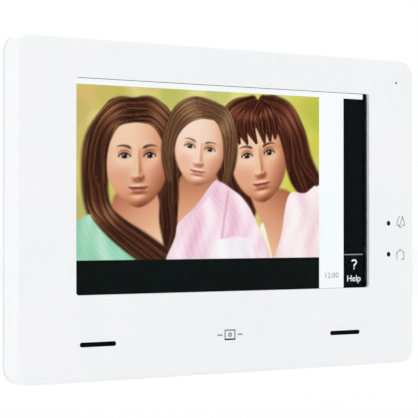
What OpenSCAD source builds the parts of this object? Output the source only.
// Video intercom monitor: an indoor door-answering station with a seven-inch touch display.
// X runs to the right seen from the front, Z runs up, and the room side is towards -Y.
// The origin is the middle of the wall plate's back face, so the wall is the plane y = 0.

/* [Casing] */
// Width of the front face
face_w = 210; // [206:1:260]
// Height of the front face
face_h = 136; // [132:1:170]
// Depth of the room between the display's bracket and the main board
parts_room = 4; // [4:0.1:10]
// Radius of the four corners of the face
corner_r = 7; // [5:0.5:10]
// Radius of the rounded front edge
edge_r = 1.8; // [1:0.1:2.4]
// Depth of the front cover's side
front_band = 9; // [8.5:0.5:10]
// Depth of the rear cover's rim
rim_depth = 2.6; // [2:0.1:3]
// Thickness of the front cover's sides
side_wall = 2.2; // [1.6:0.1:2.6]
// Thickness of the front cover's face
front_wall = 2.0; // [1.9:0.1:2.4]
// Thickness of the rear cover's walls
back_wall = 2.0; // [1.5:0.1:2.4]
// How far the rear box stands in from the edge of the face
back_inset = 9; // [9:0.5:11]
// Radius of the rear box's upright corners
back_corner_r = 6; // [4:0.5:9]
// Width of the shadow line between the covers
groove_w = 0.4; // [0.2:0.1:0.8]
// Depth of the shadow line between the covers
groove_d = 0.6; // [0.3:0.1:1]
// Gap between the rear box and the wall
wall_gap = 0.4; // [0.3:0.1:1]

/* [Display] */
// Width of the lit area
screen_w = 154.08; // [150:0.01:155]
// Height of the lit area
screen_h = 85.92; // [80:0.01:92]
// Height of the display's middle above the middle of the face
screen_z = 9.3; // [7:0.1:11]
// How much wider the window is than the lit area, each side
window_side_margin = 0.6; // [0:0.1:1]
// Corner radius of the window
window_r = 1.3; // [0.5:0.1:3]
// Thickness of the face around the window
window_lip = 1.6; // [1:0.1:1.8]
// Width of the display module
module_w = 165; // [162:0.5:166]
// Height of the display module
module_h = 100; // [97:0.5:101]
// Thickness of the display module
module_t = 5.7; // [5.2:0.01:7]
// Thickness of the touch glass
touch_t = 1.4; // [1:0.1:1.8]
// Thickness of the foam gasket in front of the touch glass
gasket_t = 0.2; // [0.2:0.05:0.4]

/* [Sound] */
// Length of each sound slot
slot_l = 17.3; // [14:0.1:19]
// Height of each sound slot
slot_h = 1.9; // [1.5:0.1:2.5]
// Length of the scoop around each slot
scoop_l = 22; // [20:0.5:25]
// Height of the scoop around each slot
scoop_h = 6.8; // [5:0.1:8]
// Depth of the scoop
scoop_d = 0.5; // [0.3:0.1:0.7]
// Height of the slots above the bottom edge
slot_up = 14.8; // [14.8:0.1:17]
// Distance of the left slot's middle from the left edge
slot_left_in = 38; // [34:0.1:42]
// Distance of the right slot's middle from the right edge
slot_right_in = 41.4; // [36:0.1:44]
// Length of each loudspeaker
speaker_w = 40; // [33:0.1:42]
// Height of each loudspeaker
speaker_h = 20; // [16:0.5:20]
// Depth of each loudspeaker's frame
speaker_d = 3.7; // [3:0.1:4]
// Diameter of the microphone hole
mic_hole_d = 1.0; // [0.8:0.1:1.4]
// Distance of the microphone from the right edge and from the top edge
mic_in = [10.9, 10.1]; // [9:0.1:12]

/* [Indicator lamps] */
// Diameter of the two lamp holes
lamp_hole_d = 1.9; // [1.5:0.1:3]
// Distance of the lamps from the right edge
lamp_in = 15.7; // [15:0.1:17]
// Height of the upper and the lower lamp from the middle of the face
lamp_z = [-5.2, -19.1]; // [-30:0.1:30]

/* [Wall plate] */
// Width of the wall plate
plate_w = 150; // [146:1:160]
// Height of the wall plate
plate_h = 90; // [86:1:94]
// Thickness of the wall plate
plate_t = 1.5; // [1:0.1:1.6]
// Width of the cable opening
cable_w = 46; // [42:1:48]
// Height of the cable opening
cable_h = 56; // [50:1:60]
// Screw spacing of the round flush box
box_pitch_round = 60; // [60:0.5:62]
// Screw spacing of the three-module flush box
box_pitch_wide = 83.5; // [80:0.5:88]
// Diameter of the box screw slots
box_slot_d = 4.4; // [4:0.1:5]
// Straight length added to each box screw slot
box_slot_run = 3; // [1:0.5:4]
// Width and height of the rectangle of wall screws
wall_pitch = [130, 76]; // [60:0.5:140]
// Diameter of the wall screw holes
wall_hole_d = 4.5; // [4:0.1:5]
// Diameter of the wall screw countersinks
wall_sink_d = 8.4; // [7:0.1:9]
// Width of each hook
hook_w = 10; // [8:0.5:12]
// How far each hook's tip rises above its neck
hook_rise = 4; // [3:0.5:5]
// Distance of the hooks from the middle
hook_x = 55; // [53:0.5:60]
// Height of the upper and the lower hooks' necks
hook_z = [28, -30]; // [-32:0.5:30]
// How far the monitor lifts to come off its hooks
lift_travel = 7; // [6:0.1:8.4]

/* [Electronics] */
// Thickness of the circuit boards
board_t = 1.6; // [1:0.1:1.6]
// Height of the terminal block
terminal_t = 7; // [6:0.1:7]
// Number of wire terminals
terminal_count = 6; // [2:1:6]
// Spacing of the wire terminals
terminal_pitch = 5; // [4.8:0.1:5.08]
// Spacing of the code switch levers
dip_pitch = 2.54; // [2.4:0.01:2.6]
// Travel of each code switch lever
dip_travel = 1.4; // [1:0.1:1.6]

/* [Fits] */
// Play between neighbouring pieces
play = 0.3; // [0.2:0.05:0.4]
// Play all round a screw or pin in its hole
hole_play = 0.05; // [0.05:0.01:0.2]

/* [Hidden] */
$fn = 64;
DIP_COUNT = 8;

// Levels in depth, from the wall to the main board.
back_y = -wall_gap;
recess_y = -plate_t - play;
recess_in_y = recess_y - back_wall;
well_depth = 2.8;
well_wall = 1.6;
well_in_y = recess_y - well_depth - well_wall;
board_gap = 1.7;
board_back_y = well_in_y - board_gap;
board_y = board_back_y - board_t;

// Levels in depth, from the front face to the display's bracket. The whole depth of the casing
// follows from what stands between them.
bracket_t = 1.0;
bracket_gap = 0.2;
display_depth = max(window_lip + gasket_t + touch_t + play + module_t + play,
    front_band + bracket_gap);
case_depth = display_depth + bracket_t + parts_room - board_y;
front_y = -case_depth;
cavity_y = front_y + front_wall;
seat_y = front_y + window_lip;
touch_y = seat_y + gasket_t;
module_y = touch_y + touch_t + play;
module_back_y = module_y + module_t;
parting_y = front_y + front_band;
rim_back_y = parting_y + rim_depth;
bracket_y = front_y + display_depth;

// Casing outlines.
half_w = face_w / 2;
half_h = face_h / 2;
back_w = face_w - 2 * back_inset;
back_h = face_h - 2 * back_inset;
hollow_w = back_w - 2 * back_wall;
hollow_h = back_h - 2 * back_wall;
boss_d = 6;
vent_count = 15;
vent_pitch = 5;
vent_w = 2;
vent_run = 6;
vent_in = 3.4;
casing_screw_in = 5.6;
casing_screw_d = 2.5;
casing_screw_at = [half_w - casing_screw_in, half_h - casing_screw_in];

// Display, in outline and in depth.
window_w = screen_w + 2 * window_side_margin;
window_h = screen_h;
touch_w = module_w - 1;
touch_h = module_h - 1;
seat_w = touch_w + 2 * play;
seat_h = touch_h + 2 * play;
tray_w = module_w - 1;
tray_h = module_h - 1;
tray_wall = 1.5;
tray_floor_t = 1;
layer_gap = 0.1;
glass_gap = 0.2;
glass_w = tray_w - 2 * (tray_wall + glass_gap);
glass_h = tray_h - 2 * (tray_wall + glass_gap);
bezel_t = 0.3;
lcd_glass_t = 1.1;
lcd_glass_y = module_y + bezel_t + layer_gap;
diffuser_t = 0.5;
diffuser_y = lcd_glass_y + lcd_glass_t + layer_gap;
guide_t = 2;
guide_y = diffuser_y + diffuser_t + layer_gap;
bracket_w = module_w + 2;
bracket_top = hollow_h / 2 - 0.6;
bracket_low = screen_z - module_h / 2 - 0.8;
bracket_boss_d = 4.8;
bracket_screw_d = 2;
ear_top_x = module_w / 2 + bracket_boss_d / 2 + 2.7;
ear_low_x = 26;
ear_top_z = bracket_top - 3;
ear_low_z = screen_z - module_h / 2 - bracket_boss_d / 2 - 1.6;

// Sound.
slot_z = -half_h + slot_up;
slot_left_x = -half_w + slot_left_in;
slot_right_x = half_w - slot_right_in;
mic_x = half_w - mic_in[0];
mic_z = half_h - mic_in[1];
speaker_gasket_t = 1;
speaker_y = cavity_y + speaker_gasket_t;
magnet_d = 13;
magnet_t = 2;
mic_d = 4;
mic_t = 1.5;

// Indicator lamps.
lamp_x = half_w - lamp_in;
strip_w = 12.6;
strip_x = module_w / 2 + 2.2 + strip_w / 2;
strip_top = 47;
strip_low = -28;
strip_y = parting_y - 0.4 - board_t;
strip_screw_z = [strip_top - 3.5, strip_low + 3.5];
lamp_t = 1.9;

// Wall plate and the recess that takes it.
recess_play = 1.5;
recess_w = plate_w + 2 * recess_play;
recess_top = plate_h / 2 + 1;
recess_low = -plate_h / 2 - lift_travel - 1;
slot_fit = 0.2;
hook_slot_h = lift_travel + hook_rise - 1 + 2 * slot_fit;
hook_tip_y = recess_in_y - play;
bay_w = 37;
bay_h = 33;
bay_wall = 1.2;
well_w = 26;
well_x = (box_pitch_round + box_pitch_wide) / 4;
well_h = 17;
well_z = -lift_travel / 2;

// Main board.
board_w = hollow_w - 12;
board_h = min(hollow_h - 14, 2 * (half_h - slot_up) - 6.4);
board_hole_in = 4;
board_screw_d = 2.2;
board_screw_at = [board_w / 2 - board_hole_in, board_h / 2 - board_hole_in];
terminal_z = 8;
terminal_h = 9.8;
clamp_z = terminal_z + 0.4;
terminal_w = terminal_count * terminal_pitch + 0.6;
dip_z = -8;
dip_t = 3;
dip_w = DIP_COUNT * dip_pitch + 1.9;
dip_h = 9.7;
lever_w = 1.2;
lever_h = 1.6;
lever_out = 1;
lever_play = 0.2;
lead_d = 1.1;
strip_lead_d = 1;
mic_lead_d = 0.7;
lead_low_z = -board_h / 2 + 4;
strip_socket_at = [board_w / 2 - 4.5, strip_low + 12];

// Colours.
white_abs = "#F3F4F7";
board_green = "#1F5B3A";
steel = "#C9CCD0";
black = "#17181A";

// ---- building blocks -------------------------------------------------------------------

// Flat rectangle with round corners.
module rounded_area(w, h, r) {
    if (w > 2 * r) square([w - 2 * r, h], center = true);
    if (h > 2 * r) square([w, h - 2 * r], center = true);
    for (sx = [-1, 1], sz = [-1, 1])
        translate([sx * (w / 2 - r), sz * (h / 2 - r)]) circle(r = r);
}

// Upright panel of thickness t whose wall-side face is at y.
module panel(w, h, r, y, t, at = [0, 0])
    translate([at[0], y, at[1]]) rotate([90, 0, 0]) linear_extrude(t) rounded_area(w, h, r);

// Upright block of thickness t whose wall-side face is at y.
module block(w, h, y, t, at = [0, 0])
    translate([at[0] - w / 2, y - t, at[1] - h / 2]) cube([w, t, h]);

// Cylinder of length t along Y whose wall-side end is at y.
module stud(d, y, t, at = [0, 0])
    translate([at[0], y, at[1]]) rotate([90, 0, 0]) cylinder(d = d, h = t);

// Half section of a slab of half width a: straight sides and one rounded top edge.
module edge_section(a, t, f) {
    square([a - f, t]);
    square([a, t - f]);
    translate([a - f, t - f]) intersection() {
        circle(r = f);
        square(f);
    }
}

// Whole section of a slab of width w, both top edges rounded.
module full_section(w, t, f) {
    edge_section(w / 2, t, f);
    mirror([1, 0]) edge_section(w / 2, t, f);
}

// Slab of thickness t with round corners and a rounded edge on its +Z side.
module soft_slab(w, h, r, t, f) {
    rotate([90, 0, 90]) translate([0, 0, -(w / 2 - r)])
        linear_extrude(w - 2 * r) full_section(h, t, f);
    rotate([90, 0, 0]) translate([0, 0, -(h / 2 - r)])
        linear_extrude(h - 2 * r) full_section(w, t, f);
    for (sx = [-1, 1], sz = [-1, 1])
        translate([sx * (w / 2 - r), sz * (h / 2 - r), 0])
            rotate_extrude() edge_section(r, t, f);
}

// The four places at plus and minus at.
module four(at)
    for (sx = [-1, 1], sz = [-1, 1]) translate([sx * at[0], 0, sz * at[1]]) children();

// Pan-head screw along Y: the head's face is at y, and dir is +1 where the head faces the wall.
module screw(y, head_d, head_t, d, length, dir = 1)
    translate([0, y, 0]) rotate([dir > 0 ? -90 : 90, 0, 0]) difference() {
        union() {
            cylinder(d = head_d, h = head_t);
            translate([0, 0, -length]) cylinder(d = d, h = length + 0.01);
        }
        for (a = [0, 90]) rotate([0, 0, a])
            translate([-head_d * 0.3, -0.3, head_t - 0.7]) cube([head_d * 0.6, 0.6, 0.8]);
    }

// Points round a circle of radius r in the plane across direction d at place p.
function unit(v) = v / norm(v);
function ring(p, d, r, sides) =
    let (u = unit(cross(d, [0.13, 0.31, 0.94])), w = cross(d, u))
        [for (k = [0 : sides - 1]) p + r * (cos(360 * k / sides) * u + sin(360 * k / sides) * w)];

// Point at share t of a smooth cubic stretch through four points.
function smooth_point(a, b, c, d, t) =
    0.5 * (2 * b + (c - a) * t + (2 * a - 5 * b + 4 * c - d) * t * t
        + (3 * b - a - 3 * c + d) * t * t * t);

// The route resampled so that each stretch has n steps.
function smooth_route(p, n) =
    let (m = len(p) - 1)
        concat([for (i = [0 : m - 1], k = [0 : n - 1])
            smooth_point(p[max(i - 1, 0)], p[i], p[i + 1], p[min(i + 2, m)], k / n)], [p[m]]);

// Round lead of diameter d along a route.
module lead(route, d, sides = 8, steps = 3) {
    path = smooth_route(route, steps);
    last = len(path) - 1;
    points = [for (i = [0 : last])
        each ring(path[i], unit(path[min(i + 1, last)] - path[max(i - 1, 0)]), d / 2, sides)];
    walls = [for (i = [0 : last - 1], k = [0 : sides - 1])
        let (n = (k + 1) % sides)
            [i * sides + k, i * sides + n, (i + 1) * sides + n, (i + 1) * sides + k]];
    first_cap = [for (k = [sides - 1 : -1 : 0]) k];
    last_cap = [for (k = [0 : sides - 1]) last * sides + k];
    polyhedron(points = points, faces = concat([first_cap], walls, [last_cap]), convexity = 4);
}

// Strip of width w along X, whose middle line follows the route of [y, z] points.
module ribbon(route, w, t, x) {
    path = smooth_route([for (p = route) [p[0], p[1], 0]], 5);
    last = len(path) - 1;
    sides = [for (i = [0 : last])
        let (d = unit(path[min(i + 1, last)] - path[max(i - 1, 0)])) [-d[1], d[0]]];
    left = [for (i = [0 : last]) [path[i][0], path[i][1]] + t / 2 * sides[i]];
    right = [for (i = [last : -1 : 0]) [path[i][0], path[i][1]] - t / 2 * sides[i]];
    translate([x - w / 2, 0, 0]) rotate([90, 0, 90]) linear_extrude(w)
        polygon(concat(left, right));
}

// ---- casing ------------------------------------------------------------------------------

// Scoop of scoop_l by scoop_h around a sound slot, cut by a cylinder with ball ends.
module scoop(x) {
    r = (pow(scoop_h / 2, 2) + pow(scoop_d, 2)) / (2 * scoop_d);
    run = scoop_l - scoop_h;
    translate([x, front_y + scoop_d - r, slot_z]) {
        translate([-run / 2, 0, 0]) rotate([0, 90, 0]) cylinder(r = r, h = run, $fn = 180);
        for (s = [-1, 1]) translate([s * run / 2, 0, 0]) sphere(r = r, $fn = 180);
    }
}

// Stadium-shaped hole through the face.
module sound_slot(x)
    translate([x, cavity_y + 1, slot_z]) rotate([90, 0, 0]) linear_extrude(front_wall + 2) {
        square([slot_l - slot_h, slot_h], center = true);
        for (s = [-1, 1]) translate([s * (slot_l - slot_h) / 2, 0]) circle(d = slot_h);
    }

// Wall around a loudspeaker on the inside of the face.
module speaker_wall(x)
    difference() {
        panel(speaker_w + 2 * play + 2.4, speaker_h + 2 * play + 2.4, speaker_h / 2 + play + 1.2,
            speaker_y + speaker_d, speaker_d + speaker_gasket_t, [x, slot_z]);
        panel(speaker_w + 2 * play, speaker_h + 2 * play, speaker_h / 2 + play,
            speaker_y + speaker_d + 1, speaker_d + speaker_gasket_t + 1, [x, slot_z]);
    }

module front_cover_bosses() {
    four(casing_screw_at) stud(boss_d, parting_y, parting_y - cavity_y);
    for (s = [-1, 1]) {
        stud(bracket_boss_d, bracket_y, bracket_y - cavity_y, [s * ear_top_x, ear_top_z]);
        stud(bracket_boss_d, bracket_y, bracket_y - cavity_y, [s * ear_low_x, ear_low_z]);
    }
    for (z = strip_screw_z) stud(4.6, strip_y, strip_y - cavity_y, [strip_x, z]);
    stud(mic_d + 2.6, cavity_y + mic_t + 1, mic_t + 1, [mic_x, mic_z]);
}

module front_cover_pilots() {
    depth = 7.2;
    four(casing_screw_at) stud(casing_screw_d + 2 * hole_play, parting_y + 1, depth);
    for (s = [-1, 1], p = [[ear_top_x, ear_top_z], [ear_low_x, ear_low_z]])
        stud(bracket_screw_d + 2 * hole_play, bracket_y + 1, depth, [s * p[0], p[1]]);
    for (z = strip_screw_z)
        stud(bracket_screw_d + 2 * hole_play, strip_y + 1, 5, [strip_x, z]);
    stud(mic_d + 1.4 + 2 * hole_play, cavity_y + mic_t + 2, mic_t + 2, [mic_x, mic_z]);
}

module front_cover()
    color(white_abs) difference() {
        union() {
            difference() {
                translate([0, parting_y, 0]) rotate([90, 0, 0])
                    soft_slab(face_w, face_h, corner_r, front_band, edge_r);
                panel(face_w - 2 * side_wall, face_h - 2 * side_wall, corner_r - side_wall,
                    parting_y + 1, front_band - front_wall + 1);
            }
            intersection() {
                union() {
                    front_cover_bosses();
                    speaker_wall(slot_left_x);
                    speaker_wall(slot_right_x);
                }
                panel(face_w - side_wall, face_h - side_wall, corner_r - side_wall / 2,
                    bracket_y + 1, bracket_y - cavity_y + 1.5);
            }
        }
        panel(window_w, window_h, window_r, cavity_y + 1, front_wall + 2, [0, screen_z]);
        panel(seat_w, seat_h, window_r, cavity_y + 1, cavity_y - seat_y + 1, [0, screen_z]);
        for (x = [slot_left_x, slot_right_x]) {
            scoop(x);
            sound_slot(x);
        }
        for (z = lamp_z) stud(lamp_hole_d, cavity_y + 1, front_wall + 2, [lamp_x, z]);
        stud(mic_hole_d, cavity_y + 1, front_wall + 2, [mic_x, mic_z]);
        front_cover_pilots();
    }

// Lip segments that centre the rear cover inside the front cover.
module locating_lip() {
    lip_t = 1.2;
    lip_in = 2;
    run_x = face_w - 60;
    run_z = face_h - 60;
    edge_x = half_w - side_wall - play - lip_t / 2;
    edge_z = half_h - side_wall - play - lip_t / 2;
    for (s = [-1, 1]) {
        block(lip_t, run_z, parting_y + 0.5, lip_in + 0.5, [s * edge_x, 0]);
        block(run_x / 4, lip_t, parting_y + 0.5, lip_in + 0.5, [s * run_x / 4 - s * 20, edge_z]);
    }
}

// Outer form of the rear cover: the rim, the shadow line and the rear box.
module rear_cover_form() {
    translate([0, parting_y + groove_w, 0]) rotate([-90, 0, 0])
        soft_slab(face_w, face_h, corner_r, rim_depth - groove_w, 0.8);
    panel(face_w - 2 * groove_d, face_h - 2 * groove_d, corner_r - groove_d,
        parting_y + groove_w + 0.2, groove_w + 0.2);
    translate([0, rim_back_y - 1, 0]) rotate([-90, 0, 0])
        soft_slab(back_w, back_h, back_corner_r, back_y - rim_back_y + 1, 1.5);
}

// Hollow of the rear cover, stepped where the wall plate's recess stands in.
module rear_cover_hollow()
    difference() {
        panel(hollow_w, hollow_h, back_corner_r - back_wall, back_y - back_wall,
            back_y - back_wall - parting_y + 1);
        union() {
            panel(recess_w + 2 * back_wall, recess_top - recess_low + 2 * back_wall, 3,
                back_y, back_y - recess_in_y, [0, (recess_top + recess_low) / 2]);
            for (s = [-1, 1])
                panel(well_w + 2.4, well_h + 2.4, 2, recess_y, recess_y - well_in_y,
                    [s * well_x, well_z]);
            panel(bay_w + 2 * bay_wall, bay_h + 2 * bay_wall, 1.5, recess_y,
                recess_y - board_back_y - 0.2);
            four(board_screw_at)
                stud(boss_d, back_y - 1, back_y - 1 - board_back_y);
        }
    }

module hook_slots()
    for (s = [-1, 1], z = hook_z)
        block(hook_w + 2 * slot_fit + 0.4, hook_slot_h, recess_y + 1, back_wall + 2,
            [s * hook_x, z + slot_fit - hook_slot_h / 2]);

module vent_slots()
    for (s = [-1, 1], i = [0 : vent_count - 1])
        block(vent_w, 2 * back_wall + 2, back_y - vent_in, vent_run,
            [(i - (vent_count - 1) / 2) * vent_pitch, s * (back_h - back_wall) / 2]);

module rear_cover()
    color(white_abs) difference() {
        union() {
            difference() {
                rear_cover_form();
                rear_cover_hollow();
            }
            locating_lip();
        }
        panel(recess_w, recess_top - recess_low, 3, back_y + 1, back_y + 1 - recess_y,
            [0, (recess_top + recess_low) / 2]);
        for (s = [-1, 1])
            panel(well_w, well_h, 1.2, recess_y + 1, well_depth + 1, [s * well_x, well_z]);
        panel(bay_w, bay_h, 1, recess_y + 1, 20);
        panel(module_w + 2, module_h + 2, 1, max(parting_y + 0.6, module_back_y + play),
            rim_depth + 4, [0, screen_z]);
        hook_slots();
        vent_slots();
        four(board_screw_at) stud(board_screw_d + 2 * hole_play, back_y - 1.4, 10);
        four(casing_screw_at) stud(casing_screw_d + 0.5, back_y, 20);
    }

module casing_screws()
    color(steel) four(casing_screw_at) screw(rim_back_y, 4.4, 1.5, casing_screw_d, rim_depth + 4);

module rating_label() {
    label_w = 12;
    strip = (recess_w + back_w) / 4;
    color("#E9EAEC") panel(label_w, 44, 0.8, back_y + 0.12, 0.12, [strip + 0.3, 8]);
}

// ---- wall plate --------------------------------------------------------------------------

// Slot for a box screw: two round ends with a straight run along X.
module box_slot(x)
    translate([x, 1, 0]) rotate([90, 0, 0]) linear_extrude(plate_t + 2) {
        square([box_slot_run, box_slot_d], center = true);
        for (s = [-1, 1]) translate([s * box_slot_run / 2, 0]) circle(d = box_slot_d);
    }

// Hook bent out of the plate: a neck through the rear cover and a tip that rises behind it.
module hook(x, z) {
    block(hook_w, plate_t, 0, plate_t - hook_tip_y, [x, z - plate_t / 2]);
    block(hook_w, hook_rise + plate_t, hook_tip_y, plate_t, [x, z + hook_rise / 2 - plate_t / 2]);
}

module wall_plate()
    color(steel) union() {
        difference() {
            panel(plate_w, plate_h, 5, 0, plate_t);
            panel(cable_w, cable_h, 4, 1, plate_t + 2);
            for (s = [-1, 1]) {
                box_slot(s * box_pitch_round / 2);
                box_slot(s * box_pitch_wide / 2);
                for (z = hook_z)
                    block(hook_w + 1, hook_rise + plate_t + 1.5, 1, plate_t + 2,
                        [s * hook_x, z + (hook_rise + plate_t + 1.5) / 2]);
                panel(12, 4, 2, 1, plate_t + 2, [s * hook_x, 0]);
            }
            four(wall_pitch / 2) {
                stud(wall_hole_d, 1, plate_t + 2);
                translate([0, -plate_t - 0.01, 0]) rotate([-90, 0, 0])
                    cylinder(d1 = wall_sink_d, d2 = wall_hole_d - 0.6, h = (wall_sink_d - wall_hole_d + 0.6) / 4);
            }
            translate([0, 1, plate_h / 2 - 8]) rotate([90, 0, 0]) linear_extrude(plate_t + 2)
                polygon([[-4, -2.5], [4, -2.5], [0, 3.5]]);
        }
        for (s = [-1, 1], z = hook_z) hook(s * hook_x, z);
    }

// ---- display -----------------------------------------------------------------------------

module frame_panel(w, h, r, in_w, in_h, in_r, y, t)
    difference() {
        panel(w, h, r, y, t, [0, screen_z]);
        panel(in_w, in_h, in_r, y + 1, t + 2, [0, screen_z]);
    }

module touch_gasket()
    color(black) frame_panel(touch_w, touch_h, 1, window_w + 1.2, window_h + 1.2, window_r,
        touch_y, gasket_t);

module touch_panel()
    color("#2B2F33") panel(touch_w, touch_h, 1, touch_y + touch_t, touch_t, [0, screen_z]);

module touch_ribbon() {
    low = screen_z - module_h / 2;
    start_y = touch_y + touch_t + 0.15;
    end_y = board_y - 0.6;
    route = [[start_y, low + 2], [start_y, low + 0.4], [start_y + 0.1, low - 0.5],
        [start_y + 1.2, low - 1.2], [start_y + 3.2, low - 1.7], [bracket_y + 1.5, low - 1.9],
        [end_y - 0.8, low - 2.6], [end_y, low - 4.5]];
    color("#C07A2C") ribbon(route, 6, 0.14, 0);
}

// Folded sheet: a front frame and four sides round the tray.
module lcd_bezel() {
    view_margin = 1.6;
    side_depth = 4.1;
    color(steel) union() {
        frame_panel(module_w, module_h, 0.8, screen_w + 2 * view_margin,
            screen_h + 2 * view_margin, 0.6, module_y + bezel_t, bezel_t);
        frame_panel(module_w, module_h, 0.8, module_w - 2 * bezel_t, module_h - 2 * bezel_t,
            0.5, module_y + side_depth, side_depth);
    }
}

module lcd_panel()
    color("#101316") panel(glass_w, glass_h, 0.4, lcd_glass_y + lcd_glass_t, lcd_glass_t,
        [0, screen_z]);

module lcd_diffuser()
    color("#F2F4F6") panel(glass_w, glass_h, 0.4, diffuser_y + diffuser_t, diffuser_t,
        [0, screen_z]);

module lcd_light_guide()
    color("#DDEBF2") panel(glass_w, glass_h - 3, 0.4, guide_y + guide_t, guide_t,
        [0, screen_z + 1.5]);

module lcd_lamp_bar() {
    z = screen_z - glass_h / 2 + 1.2;
    count = 18;
    color("#E8D9A0") union() {
        block(glass_w - 4, 0.8, guide_y + guide_t, guide_t, [0, z - 0.6]);
        for (i = [0 : count - 1])
            block(3.2, 1, guide_y + guide_t - 0.3, guide_t - 0.6,
                [(i - (count - 1) / 2) * (glass_w - 8) / count, z + 0.3]);
    }
}

module lcd_tray()
    color("#EDEEEF") difference() {
        panel(tray_w, tray_h, 0.6, module_back_y, module_back_y - lcd_glass_y, [0, screen_z]);
        panel(tray_w - 2 * tray_wall, tray_h - 2 * tray_wall, 0.4,
            module_back_y - tray_floor_t, module_t, [0, screen_z]);
    }

module lcd_ribbon() {
    start_y = module_back_y + 0.12;
    end_y = board_y - 0.6;
    top = screen_z - 24;
    route = [[start_y, top], [start_y, top - 6], [start_y + 0.5, top - 9],
        [(start_y + end_y) / 2, top - 12], [end_y - 0.4, top - 15], [end_y, top - 17.9]];
    color("#C07A2C") ribbon(route, 30, 0.16, 0);
}

module display_bracket()
    color(steel) difference() {
        union() {
            panel(bracket_w, bracket_top - bracket_low, 3, bracket_y + bracket_t, bracket_t,
                [0, (bracket_top + bracket_low) / 2]);
            for (s = [-1, 1]) {
                stud(7, bracket_y + bracket_t, bracket_t, [s * ear_top_x, ear_top_z]);
                block(8, 6, bracket_y + bracket_t, bracket_t, [s * (ear_top_x - 4), ear_top_z]);
                stud(8, bracket_y + bracket_t, bracket_t, [s * ear_low_x, ear_low_z]);
                block(8, 6, bracket_y + bracket_t, bracket_t, [s * ear_low_x, ear_low_z + 3]);
            }
        }
        for (s = [-1, 1], p = [[ear_top_x, ear_top_z], [ear_low_x, ear_low_z]])
            stud(bracket_screw_d + 0.4, bracket_y + 3, 5, [s * p[0], p[1]]);
        panel(36, 20, 2, bracket_y + 3, 5, [0, screen_z - 31]);
        for (s = [-1, 1]) {
            panel(40, 22, 3, bracket_y + 3, 5, [s * 48, screen_z + 24]);
            panel(34, 18, 3, bracket_y + 3, 5, [s * 52, screen_z - 22]);
        }
    }

module bracket_screws()
    color(steel) for (s = [-1, 1], p = [[ear_top_x, ear_top_z], [ear_low_x, ear_low_z]])
        translate([s * p[0], 0, p[1]])
            screw(bracket_y + bracket_t, 3.8, 1.2, bracket_screw_d, bracket_t + 5);

// ---- main board --------------------------------------------------------------------------

module main_board()
    color(board_green) difference() {
        panel(board_w, board_h, 2, board_back_y, board_t);
        four(board_screw_at) stud(board_screw_d + 0.6, board_back_y + 1, board_t + 2);
        for (s = [-1, 1]) stud(3, board_back_y + 1, board_t + 2, [s * board_w / 4, board_h / 2 - 4]);
    }

module board_screws()
    color(steel) four(board_screw_at)
        screw(board_y, 4.2, 1.4, board_screw_d, board_t + 3.4, -1);

module processor()
    color("#1C1D20") union() {
        block(17, 17, board_y, 0.5, [-28, 26]);
        block(16, 16, board_y - 0.4, 0.9, [-28, 26]);
    }

module memory_chips()
    color("#1C1D20") for (z = [30.5, 17.5]) union() {
        block(8.4, 11.6, board_y, 0.5, [-6, z]);
        block(8, 11, board_y - 0.4, 0.7, [-6, z]);
    }

// Chips with two rows of legs: place, body width, body height and legs a side.
SUPPORT_CHIPS = [[[22, 30], 10, 7.5, 8], [[22, 14], 5, 4, 4], [[38, 30], 10, 7.5, 8],
    [[-50, 28], 6.5, 4.4, 7], [[-50, 14], 5, 4, 4], [[52, -10], 10, 7.5, 8], [[-62, -12], 9, 7.5, 7]];

module support_chips()
    color("#232427") for (c = SUPPORT_CHIPS) union() {
        block(c[1], c[2], board_y, 1.7, c[0]);
        for (i = [0 : c[3] - 1], s = [-1, 1])
            block(0.45, 1.6, board_y, 0.3,
                [c[0][0] + (i - (c[3] - 1) / 2) * c[1] / c[3], c[0][1] + s * c[2] / 2]);
    }

module bus_transformer() {
    at = [66, -32];
    color("#2A2B2E") union() {
        block(13, 4, board_y, 3.2, [at[0], at[1] + 4.5]);
        block(13, 4, board_y, 3.2, [at[0], at[1] - 4.5]);
        stud(9, board_y, 3, at);
    }
}

module power_coils()
    color("#3A3B3F") for (p = [[-66, 8], [-66, -32], [38, 10]]) translate([p[0], 0, p[1]])
        difference() {
            union() {
                panel(7, 7, 1.6, board_y, 0.8);
                stud(6.4, board_y, 3);
            }
            stud(2.4, board_y - 2.6, 1);
        }

// Radial capacitors lying on the wall side of the board, and low square ones beside them.
module capacitors()
    color("#33415C") {
        for (s = [-1, 1], z = [-22, 4])
            translate([s * (recess_w / 2 + back_wall + 3.6), board_back_y + 2.5, z])
                cylinder(d = 5, h = 11);
        for (x = [-40, -30, 64, 72]) block(4.3, 7.3, board_y, 2.8, [x, -12]);
    }

module crystal()
    color(steel) for (p = [[-44, 38], [8, 38]]) panel(5, 3.2, 0.8, board_y, 1, p);

// Rows of small resistors and capacitors: row start, number and step.
PASSIVE_ROWS = [[[-44, 4], 12, [3, 0]], [[-16, 12], 1, [0, 0]], [[12, 4], 9, [2.6, 0]],
    [[-14, 38], 4, [2.4, 0]], [[-36, 38], 4, [2.4, 0]], [[30, 20], 6, [2.4, 0]],
    [[-58, 38], 3, [2.4, 0]], [[64, 24], 6, [0, -2.6]], [[70, 24], 6, [0, -2.6]]];

module board_passives()
    color("#B9A98C") for (row = PASSIVE_ROWS, i = [0 : row[1] - 1])
        block(1.1, 1.8, board_y, 0.6, row[0] + i * row[2]);

// Upright socket for two or more leads, open towards its mouth.
module lead_socket(at, w, h)
    difference() {
        block(w, h, board_y, 3.2, at);
        block(w - 1.4, h - 1.4, board_y - 1, 3, at);
    }

speaker_socket_x = ear_low_x + 12;

module lead_sockets()
    color("#EFE9DC") {
        for (s = [-1, 1]) lead_socket([s * speaker_socket_x, lead_low_z], 6, 4.6);
        lead_socket(strip_socket_at, 4.6, 8);
    }

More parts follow.
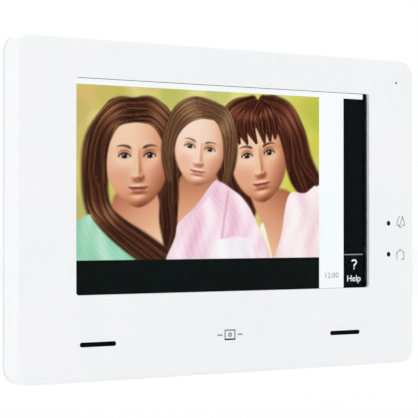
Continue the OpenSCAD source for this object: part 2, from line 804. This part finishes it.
module ribbon_sockets()
    color("#E8E2D2") {
        block(34, 4, board_y, 1.2, [0, screen_z - 24 - 20]);
        block(9, 4, board_y, 1.2, [0, screen_z - module_h / 2 - 6.6]);
    }

// Wire terminals: the wires enter from below and the screws turn from the wall side.
module terminal_block()
    color("#2F6E46") difference() {
        block(terminal_w, terminal_h, board_back_y + terminal_t, terminal_t, [0, terminal_z]);
        for (i = [0 : terminal_count - 1]) {
            x = (i - (terminal_count - 1) / 2) * terminal_pitch;
            block(3.7, terminal_h - 1.4, board_back_y + 4.6, 3.8, [x, terminal_z - 1.2]);
            stud(3.4, board_back_y + terminal_t + 1, 4, [x, clamp_z]);
        }
    }

module terminal_cages()
    color(steel) for (i = [0 : terminal_count - 1])
        translate([(i - (terminal_count - 1) / 2) * terminal_pitch, 0, 0]) difference() {
            block(3.2, 5, board_back_y + 4.2, 3.2, [0, clamp_z]);
            block(2.2, 6, board_back_y + 3.2, 1.6, [0, clamp_z]);
            stud(1.9, board_back_y + 5, 3, [0, clamp_z]);
        }

module terminal_screws()
    color("#D7D2C0") for (i = [0 : terminal_count - 1])
        translate([(i - (terminal_count - 1) / 2) * terminal_pitch,
            board_back_y + terminal_t - 2.4, clamp_z])
            rotate([-90, 0, 0]) difference() {
                union() {
                    cylinder(d = 3, h = 1.4);
                    translate([0, 0, -1.9]) cylinder(d = 1.8, h = 1.95);
                }
                translate([-1.6, -0.3, 0.8]) cube([3.2, 0.6, 0.7]);
            }

dip_top_y = board_back_y + dip_t;

module dip_housing()
    color("#B3261E") difference() {
        block(dip_w, dip_h, dip_top_y, dip_t, [0, dip_z]);
        for (i = [0 : DIP_COUNT - 1])
            block(lever_w + 2 * lever_play, lever_h + dip_travel + 2 * lever_play,
                dip_top_y + 1, dip_t + 0.2, [(i - (DIP_COUNT - 1) / 2) * dip_pitch, dip_z]);
    }

// Lever number i, drawn at the lower end of its travel.
module dip_lever(i)
    color("#F4F2EA") block(lever_w, lever_h, dip_top_y + lever_out, dip_t + lever_out - 1,
        [(i - (DIP_COUNT - 1) / 2) * dip_pitch, dip_z - dip_travel / 2]);

// ---- sound -------------------------------------------------------------------------------

module speaker_frame(x)
    color("#232528") difference() {
        union() {
            panel(speaker_w, speaker_h, speaker_h / 2, speaker_y + speaker_d, speaker_d,
                [x, slot_z]);
            block(7, 2.2, speaker_y + speaker_d + 0.4, 1, [x, slot_z + speaker_h / 2 - 1.6]);
        }
        panel(speaker_w - 3, speaker_h - 3, speaker_h / 2 - 1.5, speaker_y + speaker_d - 0.8,
            speaker_d, [x, slot_z]);
        stud(magnet_d - 2, speaker_y + speaker_d + 1, 3, [x, slot_z]);
    }

module speaker_cone(x)
    color("#3B3D40") union() {
        difference() {
            panel(speaker_w - 3.4, speaker_h - 3.4, speaker_h / 2 - 1.7, speaker_y + 1.1, 0.5,
                [x, slot_z]);
            panel(speaker_w - 7, speaker_h - 7, speaker_h / 2 - 3.5, speaker_y + 0.8, 0.5,
                [x, slot_z]);
        }
        stud(8, speaker_y + 2.2, 1.4, [x, slot_z]);
    }

module speaker_magnet(x)
    color("#54575C") union() {
        stud(magnet_d, speaker_y + speaker_d + magnet_t, magnet_t, [x, slot_z]);
        stud(magnet_d - 2.6, speaker_y + speaker_d + 0.1, 0.7, [x, slot_z]);
    }

module speaker_gasket(x)
    color(black) difference() {
        panel(speaker_w - 2, speaker_h - 2, speaker_h / 2 - 1, speaker_y, speaker_gasket_t,
            [x, slot_z]);
        panel(speaker_w - 8, speaker_h - 8, speaker_h / 2 - 4, speaker_y + 1,
            speaker_gasket_t + 2, [x, slot_z]);
    }

module slot_mesh(x)
    color("#0C0D0E") panel(speaker_w - 9, speaker_h - 9, speaker_h / 2 - 4.5, cavity_y + 0.3,
        0.3, [x, slot_z]);

module microphone()
    color(steel) union() {
        stud(mic_d, cavity_y + mic_t + 0.5, mic_t, [mic_x, mic_z]);
        for (s = [-1, 1]) stud(0.7, cavity_y + mic_t + 0.9, 0.5, [mic_x + s * 0.9, mic_z]);
    }

module microphone_boot()
    color("#1B1C1E") difference() {
        stud(mic_d + 1.4, cavity_y + mic_t + 0.6, mic_t + 0.6, [mic_x, mic_z]);
        stud(mic_d + 2 * hole_play, cavity_y + mic_t + 2, mic_t + 1.6, [mic_x, mic_z]);
        stud(1.2, cavity_y + 1, 2, [mic_x, mic_z]);
    }

// ---- indicator lamps ---------------------------------------------------------------------

module indicator_board()
    color(board_green) difference() {
        panel(strip_w, strip_top - strip_low, 1.2, strip_y + board_t, board_t,
            [strip_x, (strip_top + strip_low) / 2]);
        for (z = strip_screw_z)
            stud(bracket_screw_d + 0.4, strip_y + board_t + 1, board_t + 2, [strip_x, z]);
    }

module indicator_screws()
    color(steel) for (z = strip_screw_z) translate([strip_x, 0, z])
        screw(strip_y + board_t, 3.8, 1.2, bracket_screw_d, board_t + 3);

module indicator_lamps()
    color("#E6E2C8") for (z = lamp_z) union() {
        block(3.5, 2.8, strip_y, 1.2, [lamp_x, z]);
        stud(2.4, strip_y - 1, lamp_t - 1, [lamp_x, z]);
    }

// Smoked light pipes, each with a flange behind the face.
module lamp_lenses()
    color("#1E2226") for (z = lamp_z) union() {
        stud(lamp_hole_d - 0.1, strip_y - lamp_t - 0.2, strip_y - lamp_t - 0.2 - front_y - 0.5,
            [lamp_x, z]);
        stud(lamp_hole_d + 1.6, cavity_y + 0.9, 0.9, [lamp_x, z]);
    }

// ---- leads inside the casing ---------------------------------------------------------------

// One wire from a loudspeaker's tags to its socket on the board; s is the side, k the place
// of the wire in its pair.
module speaker_lead(x, s, k) {
    tag_z = slot_z + speaker_h / 2 - 1.6;
    back = speaker_y + speaker_d;
    lead([[x - s * 1, back + 1, tag_z + k],
        [x - s * 5, back + 1.4, tag_z + k],
        [x - s * 10, back + 2.6, tag_z + k],
        [s * (speaker_socket_x + 7), board_y - 4.2, lead_low_z + k],
        [s * (speaker_socket_x + 2.4), board_y - 4.4, lead_low_z + k],
        [s * (speaker_socket_x + 0.4), board_y - 3.2, lead_low_z + k],
        [s * speaker_socket_x, board_y - 1.6, lead_low_z + k]], lead_d);
}

module speaker_leads()
    color("#B23A32") for (k = [-0.75, 0.75]) {
        speaker_lead(slot_left_x, -1, k);
        speaker_lead(slot_right_x, 1, k);
    }

// Three wires from the lamp board across to their socket on the main board.
module indicator_leads() {
    side = strip_x > strip_socket_at[0] ? 1 : -1;
    back = strip_y + board_t;
    color("#3A5FA8") for (k = [-1.5, 0, 1.5])
        lead([[strip_x - side * 2, back + 0.5, strip_socket_at[1] + k],
            [strip_x - side * 4, back + 0.8, strip_socket_at[1] + k],
            [strip_socket_at[0] + side * 1.6, board_y - 4.3, strip_socket_at[1] + k],
            [strip_socket_at[0] + side * 0.5, board_y - 3, strip_socket_at[1] + k],
            [strip_socket_at[0], board_y - 1.6, strip_socket_at[1] + k]], strip_lead_d);
}

// Two wires from the microphone down to the front of the lamp board.
module microphone_leads()
    color("#8A8D92") for (s = [-1, 1])
        lead([[mic_x + s * 0.9, cavity_y + mic_t + 1.2, mic_z],
            [mic_x + s * 0.9, cavity_y + mic_t + 2.4, mic_z - 0.8],
            [mic_x + s * 0.8, strip_y - 1.2, mic_z - 4],
            [mic_x - 0.6 + s * 0.8, strip_y - 0.9, strip_top + 1.4],
            [mic_x - 0.6 + s * 0.8, strip_y - 0.45, strip_top - 1.2]], mic_lead_d);

// ---- drawing -----------------------------------------------------------------------------

wall_plate();
front_cover();
rear_cover();
touch_gasket();
touch_panel();
touch_ribbon();
lcd_bezel();
lcd_panel();
lcd_diffuser();
lcd_light_guide();
lcd_lamp_bar();
lcd_tray();
lcd_ribbon();
display_bracket();
bracket_screws();
main_board();
board_screws();
processor();
memory_chips();
support_chips();
bus_transformer();
power_coils();
capacitors();
crystal();
board_passives();
lead_sockets();
ribbon_sockets();
terminal_block();
terminal_cages();
terminal_screws();
dip_housing();
speaker_frame(slot_left_x);  // speaker_frame_left
speaker_cone(slot_left_x);  // speaker_cone_left
speaker_magnet(slot_left_x);  // speaker_magnet_left
speaker_gasket(slot_left_x);  // speaker_gasket_left
slot_mesh(slot_left_x);  // slot_mesh_left
speaker_frame(slot_right_x);  // speaker_frame_right
speaker_cone(slot_right_x);  // speaker_cone_right
speaker_magnet(slot_right_x);  // speaker_magnet_right
speaker_gasket(slot_right_x);  // speaker_gasket_right
slot_mesh(slot_right_x);  // slot_mesh_right
microphone();
microphone_boot();
indicator_board();
indicator_screws();
indicator_lamps();
lamp_lenses();
speaker_leads();
indicator_leads();
microphone_leads();
casing_screws();
rating_label();
for (i = [0 : DIP_COUNT - 1])
    dip_lever(i);
